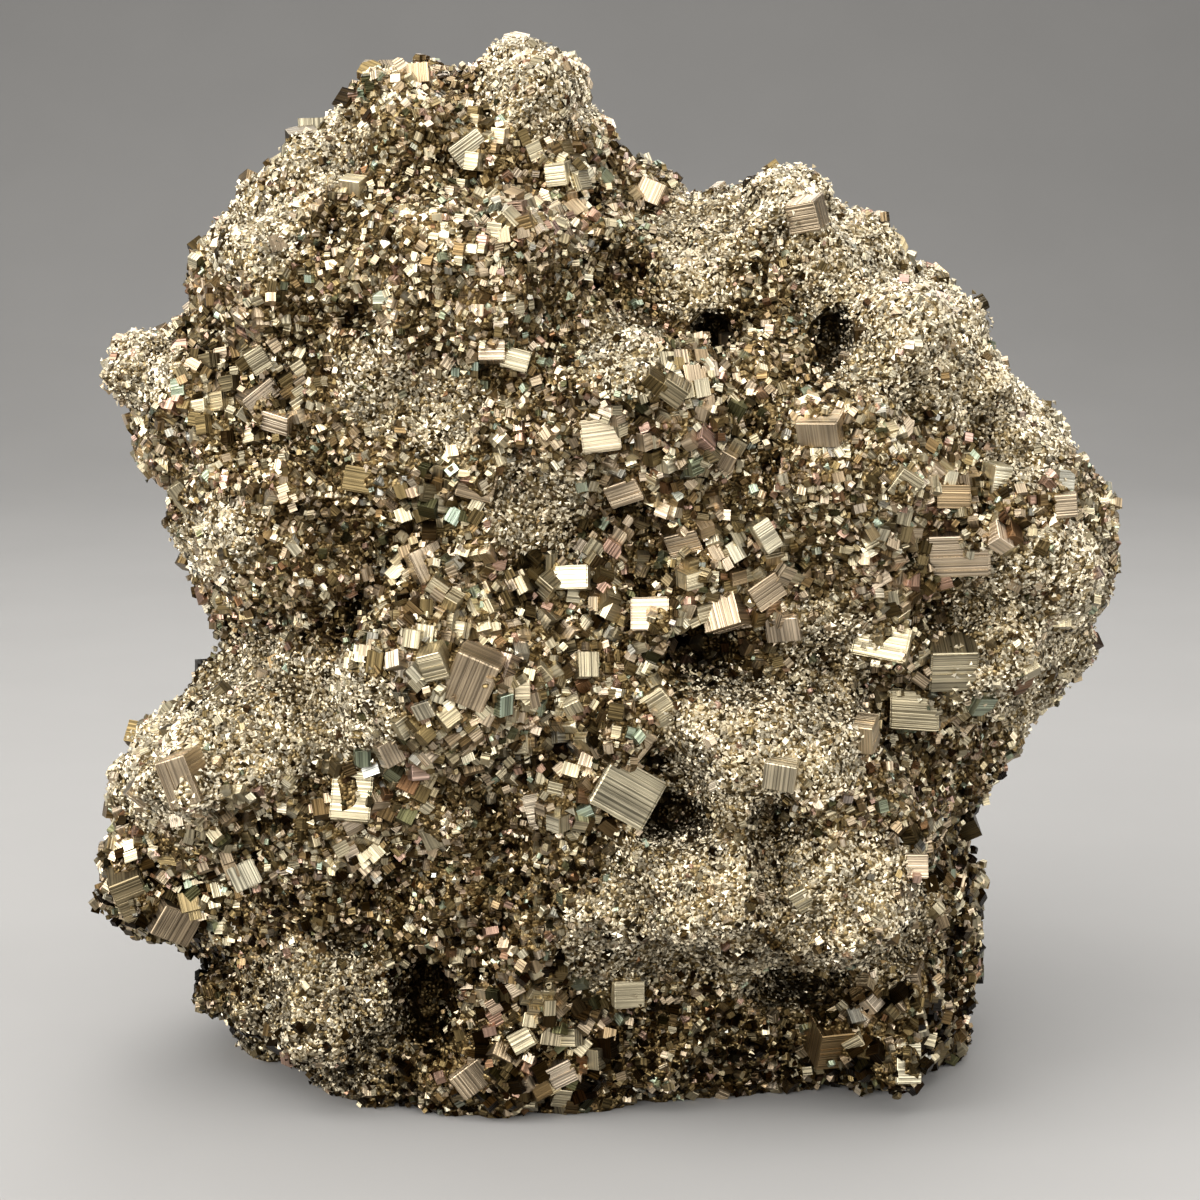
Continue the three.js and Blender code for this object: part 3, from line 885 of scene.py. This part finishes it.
class PYRITE_OT_ground(bpy.types.Operator):
    """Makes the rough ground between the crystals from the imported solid"""

    bl_idname = "pyrite.ground"
    bl_label = "Rough ground"

    def execute(self, context):
        sizes = context.scene.pyrite_ground
        ground = merged_copy(GROUND)
        finish_modifier(ground, "even_faces", "REMESH", mode="VOXEL", voxel_size=sizes.mesh_size)
        finish_modifier(ground, "worn_facets", "SMOOTH", factor=0.5, iterations=1)
        finish_modifier(ground, "below_tips", "DISPLACE", strength=-sizes.depth, mid_level=0)
        drawn_in(ground, "lumps", "VORONOI", sizes.lump_size, sizes.lump_depth)
        drawn_in(ground, "bumps", "CLOUDS", sizes.bump_size, sizes.bump_depth)
        for vertex in ground.data.vertices:
            if vertex.co.z < PRESSED_FLAT:
                vertex.co.z = 0
        alone(ground)
        bpy.ops.object.shade_flat()
        rng = np.random.default_rng(SEED)
        lines = [Vector(line).normalized() for line in rng.normal(size=(HOLLOW_LINES, 3))]
        mark_hollows(ground, lines, HOLLOW_REACH)
        mark_faces(ground, FINE, Surface(ground).fine)
        piece(ground, ground_material())
        return {"FINISHED"}


class PYRITE_OT_large_crystals(bpy.types.Operator):
    """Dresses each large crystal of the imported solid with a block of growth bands"""

    bl_idname = "pyrite.large_crystals"
    bl_label = "Large crystals"

    def execute(self, context):
        rng = np.random.default_rng(SEED)
        middles, axes, sizes = flat_blocks()
        if len(middles) < BLOCKS_LEAST:
            raise RuntimeError(f"only {len(middles)} flat blocks were found in the packed solid")
        shapes = []
        for _ in range(BANDED_SHAPES):
            cuts = [sorted(rng.uniform(-BAND_REACH, BAND_REACH, rng.integers(2, 4))) for _ in range(3)]
            shapes.append(stepped_shape(cuts, BAND_RISE))
        growth = tones(len(middles), rng, *LARGE_TONE)
        growth[:, 1] *= PLAIN_TINTS
        kinds = rng.integers(0, len(shapes), len(middles))
        every = kinds >= 0
        crystals_piece(LARGE, faces_material(), shapes, kinds, every, middles, axes, sizes, growth)
        return {"FINISHED"}


class PYRITE_OT_crystals(bpy.types.Operator):
    """Scatters single crystals of middle size over the ground"""

    bl_idname = "pyrite.crystals"
    bl_label = "Single crystals"

    def execute(self, context):
        settings = context.scene.pyrite_crystals
        rng = np.random.default_rng(SEED + 1)
        surface = Surface(bpy.data.objects[GROUND])
        chance = surface.areas * (1 - PATCH_LOSS * surface.fine) * (BACK_CHANCE + surface.front)
        chosen = rng.choice(len(chance), settings.tries, p=chance / chance.sum())
        places = surface.places[chosen]
        normals = surface.normals[chosen]
        spread = rng.random(len(chosen)) ** SMALL_POWER
        sizes = settings.smallest + (settings.largest - settings.smallest) * spread * (
            SIZE_EVERYWHERE + SIZE_COARSE * surface.coarse[chosen] + SIZE_BACK * (1 - surface.front[chosen])
        )
        sizes *= HOLLOW_SIZE + (1 - HOLLOW_SIZE) * surface.open[chosen]
        sizes *= EDGE_ON_SIZE + (1 - EDGE_ON_SIZE) * np.abs(normals @ TO_EYE)
        free = ~buried(places - normals * 0.5 * sizes[:, None], normals, crystal_tree((LARGE,)))
        free &= places[:, 2] >= SINGLE_LOWEST
        kept, beside = spaced_out(places, sizes, free, settings.gap, settings.largest)
        count = len(kept)
        edge = sizes[kept]
        size = edge[:, None] * rng.uniform(*SINGLE_SIDES, (count, 3))
        rise = rng.uniform(*SINGLE_RISE, count) * edge
        middles = places[kept] + normals[kept] * rise[:, None]
        middles[:, 2] = np.maximum(middles[:, 2], 0.5 * edge)
        turned = turns(count, rng)
        rank = {i: n for n, i in enumerate(kept)}
        for n, parallel in enumerate(rng.random(count) < settings.parallel):
            if parallel and beside[n] >= 0:
                turned[n] = turned[rank[beside[n]]]
        middle, tone_spread = SINGLE_TONE
        # painted shade: crystals deep in hollows and near the floor get a darker tone
        growth = tones(count, rng, middle - surface.painted_shade[chosen[kept]], tone_spread)
        notch = ((1, 1, 1), 0.72)
        edge_cut = ((1, 0.5, 0), 0.5)
        bevelled = (cut_shape(bevel=0.035), cut_shape((notch,), bevel=0.03))
        shapes = (*bevelled, cut_shape(), cut_shape((notch,)), cut_shape((edge_cut,)))
        kinds = np.where(
            edge > settings.bevelled,
            rng.integers(0, len(bevelled), count),
            rng.integers(len(bevelled), len(shapes), count),
        )
        front = normals[kept] @ TO_EYE > 0
        for name, side in ((SINGLE_FRONT, front), (SINGLE_BACK, ~front)):
            crystals_piece(name, faces_material(), shapes, kinds, side, middles, turned, size, growth)
        return {"FINISHED"}


class PYRITE_OT_grains(bpy.types.Operator):
    """Covers the ground with small crystals, and with grains in the sugary patches"""

    bl_idname = "pyrite.grains"
    bl_label = "Small crystals and grains"

    def execute(self, context):
        settings = context.scene.pyrite_grains
        rng = np.random.default_rng(SEED + 2)
        surface = Surface(bpy.data.objects[GROUND])
        tree = crystal_tree((LARGE, SINGLE_FRONT, SINGLE_BACK))
        notch = ((1, 1, 1), 0.62)
        edge_cut = ((1, 0.6, 0), 0.5)
        cubes = (cut_shape(), cut_shape((notch,)), cut_shape((edge_cut,)))
        corners = (corner_shape(),)
        mixed = cubes + corners * 3
        faces = faces_material()
        on_front = surface.front * (1 - SMALL_LOSS * surface.fine) * settings.small_density
        on_back = (1 - surface.front) * settings.back_density
        in_patches = surface.front * surface.fine * settings.fine_density
        layers = (
            ("small_front", mixed, settings.small, on_front, SMALL_FRONT_TONE, faces),
            ("small_back", cubes, settings.back, on_back, SMALL_BACK_TONE, faces),
            ("grains", corners, settings.fine, in_patches, GRAIN_TONE, grains_material()),
        )
        for layer in layers:
            self.cover(surface, tree, rng, *layer)
        return {"FINISHED"}

    def cover(self, surface, tree, rng, name, shapes, edge, wanted, tone, material):
        """Scatters shapes over the ground, so many to a square millimetre, in an upper and a lower piece."""
        times = np.floor(wanted * surface.areas / MM ** 2 + rng.random(len(wanted))).astype(int)
        chosen = np.repeat(np.arange(len(times)), times)
        high = surface.places[chosen, 2] > SMALL_LOWEST
        chosen = chosen[high & (surface.open[chosen] > SMALL_OPEN)]
        places = surface.places[chosen] + rng.normal(0, SMALL_SCATTER, (len(chosen), 3)) * MM
        bare = ~buried(places - surface.normals[chosen] * SMALL_ROOT, surface.normals[chosen], tree)
        chosen = chosen[bare]
        normals = surface.normals[chosen]
        places = places[bare]
        count = len(places)
        shrink = SMALL_HOLLOW_SIZE + (1 - SMALL_HOLLOW_SIZE) * surface.open[chosen]
        edges = edge * rng.lognormal(0, SMALL_SPREAD, count) * shrink
        size = edges[:, None] * rng.uniform(*SMALL_SIDES, (count, 3))
        middles = places - normals * (rng.uniform(*SMALL_SINK, count) * edges)[:, None]
        middles[:, 2] = np.maximum(middles[:, 2], 0.5 * edges)
        turned = corners_out(normals, SMALL_TILT, rng)
        middle, spread = tone
        # painted shade: crystals and grains deep in hollows and near the floor get a darker tone
        growth = tones(count, rng, middle - surface.painted_shade[chosen], spread)
        kinds = rng.integers(0, len(shapes), count)
        upper = middles[:, 2] > AIM[2]
        for part, side in (("upper", upper), ("lower", ~upper)):
            crystals_piece(f"{name}_{part}", material, shapes, kinds, side, middles, turned, size, growth)


class PYRITE_OT_studio(bpy.types.Operator):
    """Sets up the paper sheet, the lights and the camera"""

    bl_idname = "pyrite.studio"
    bl_label = "Studio"

    def execute(self, context):
        self.roll_out_paper(context)
        self.hang_panels(context)
        self.place_camera(context)
        return {"FINISHED"}

    def roll_out_paper(self, context):
        """Lays a sheet on the floor and bends it up behind."""
        bpy.ops.object.select_all(action="DESELECT")
        bpy.ops.mesh.primitive_plane_add(size=SHEET_SIZE, location=SHEET_MIDDLE)
        paper = context.object
        paper.name = "paper_sheet"
        bpy.ops.object.transform_apply(location=True)
        back = max(v.co.y for v in paper.data.vertices)

        def at_bend(edge):
            ends = [paper.data.vertices[i].co for i in edge.vertices]
            return all(abs(end.y - back) < SAME and end.z < SAME for end in ends)

        select_only(paper, "EDGE", at_bend)
        bpy.ops.mesh.extrude_region_move(TRANSFORM_OT_translate={"value": (0, 0, SHEET_RISE)})
        select_only(paper, "EDGE", at_bend)
        bpy.ops.mesh.bevel(offset=SHEET_BEND, segments=SHEET_STEPS, affect="EDGES")
        bpy.ops.mesh.select_all(action="SELECT")
        bpy.ops.mesh.normals_make_consistent(inside=False)
        bpy.ops.object.mode_set(mode="OBJECT")
        bpy.ops.object.shade_smooth()
        paper.data.materials.append(paper_material())

    def hang_panels(self, context):
        """Hangs soft panels round the cluster, in a dim room."""
        settings = context.scene.pyrite_studio
        panels = (
            ("key_panel", (-0.32, -0.42, 0.46), (1.4, 1.0), settings.key),
            ("top_panel", (0.0, -0.02, 0.55), (1.0, 0.7), settings.top),
            ("fill_panel", (0.0, -0.80, 0.36), (1.0, 0.3), settings.fill),
            ("left_panel", (-0.60, -0.25, 0.40), (0.7, 0.9), settings.side),
            ("right_panel", (0.55, -0.28, 0.26), (0.5, 0.6), settings.side),
            ("back_panel", (0.10, 0.55, 0.50), (0.6, 0.4), settings.back),
        )
        for name, place, (width, height), brightness in panels:
            bpy.ops.object.light_add(type="AREA", location=place)
            light = context.object
            light.name = name
            light.data.shape = "RECTANGLE"
            light.data.size = width
            light.data.size_y = height
            light.data.spread = PANEL_SPREAD
            light.data.energy = math.pi * width * height * brightness
            away = Vector(place) - Vector(AIM)
            light.rotation_euler = away.to_track_quat("Z", "Y").to_euler()
        world = bpy.data.worlds.new("room")
        world.use_nodes = True
        background = world.node_tree.nodes["Background"]
        background.inputs["Color"].default_value = ROOM_COLOUR
        background.inputs["Strength"].default_value = settings.sky
        context.scene.world = world

    def place_camera(self, context):
        """Puts the camera where the eye stands."""
        bpy.ops.object.camera_add(location=AIM + EYE_DISTANCE * TO_EYE)
        camera = context.object
        camera.name = "front_camera"
        camera.rotation_euler = (math.pi / 2 - EYE_TILT, 0, 0)
        camera.data.lens = LENS
        camera.data.sensor_width = SENSOR
        camera.data.clip_start = NEAREST_SEEN
        context.scene.camera = camera
        context.scene.view_settings.view_transform = "Standard"


class PYRITE_PT_panel(bpy.types.Panel):
    """Lists the pieces of the cluster"""

    bl_idname = "PYRITE_PT_panel"
    bl_label = "Pyrite cluster"
    bl_space_type = "VIEW_3D"
    bl_region_type = "UI"
    bl_category = "Pyrite"

    def draw(self, context):
        for operator in OPERATORS:
            self.layout.operator(operator.bl_idname)


SETTINGS = {
    "pyrite_ground": GroundSettings,
    "pyrite_crystals": CrystalSettings,
    "pyrite_grains": GrainSettings,
    "pyrite_colours": PyriteColours,
    "pyrite_studio": StudioSettings,
}
OPERATORS = (
    PYRITE_OT_ground,
    PYRITE_OT_large_crystals,
    PYRITE_OT_crystals,
    PYRITE_OT_grains,
    PYRITE_OT_studio,
)
CLASSES = (*SETTINGS.values(), *OPERATORS, PYRITE_PT_panel)


def register():
    for cls in CLASSES:
        bpy.utils.register_class(cls)
    for name, cls in SETTINGS.items():
        setattr(bpy.types.Scene, name, bpy.props.PointerProperty(type=cls))


def unregister():
    for name in SETTINGS:
        delattr(bpy.types.Scene, name)
    for cls in reversed(CLASSES):
        bpy.utils.unregister_class(cls)


def main():
    register()
    bpy.ops.pyrite.ground()
    bpy.ops.pyrite.large_crystals()
    bpy.ops.pyrite.crystals()
    bpy.ops.pyrite.grains()
    bpy.ops.pyrite.studio()


if __name__ == "__main__":
    main()
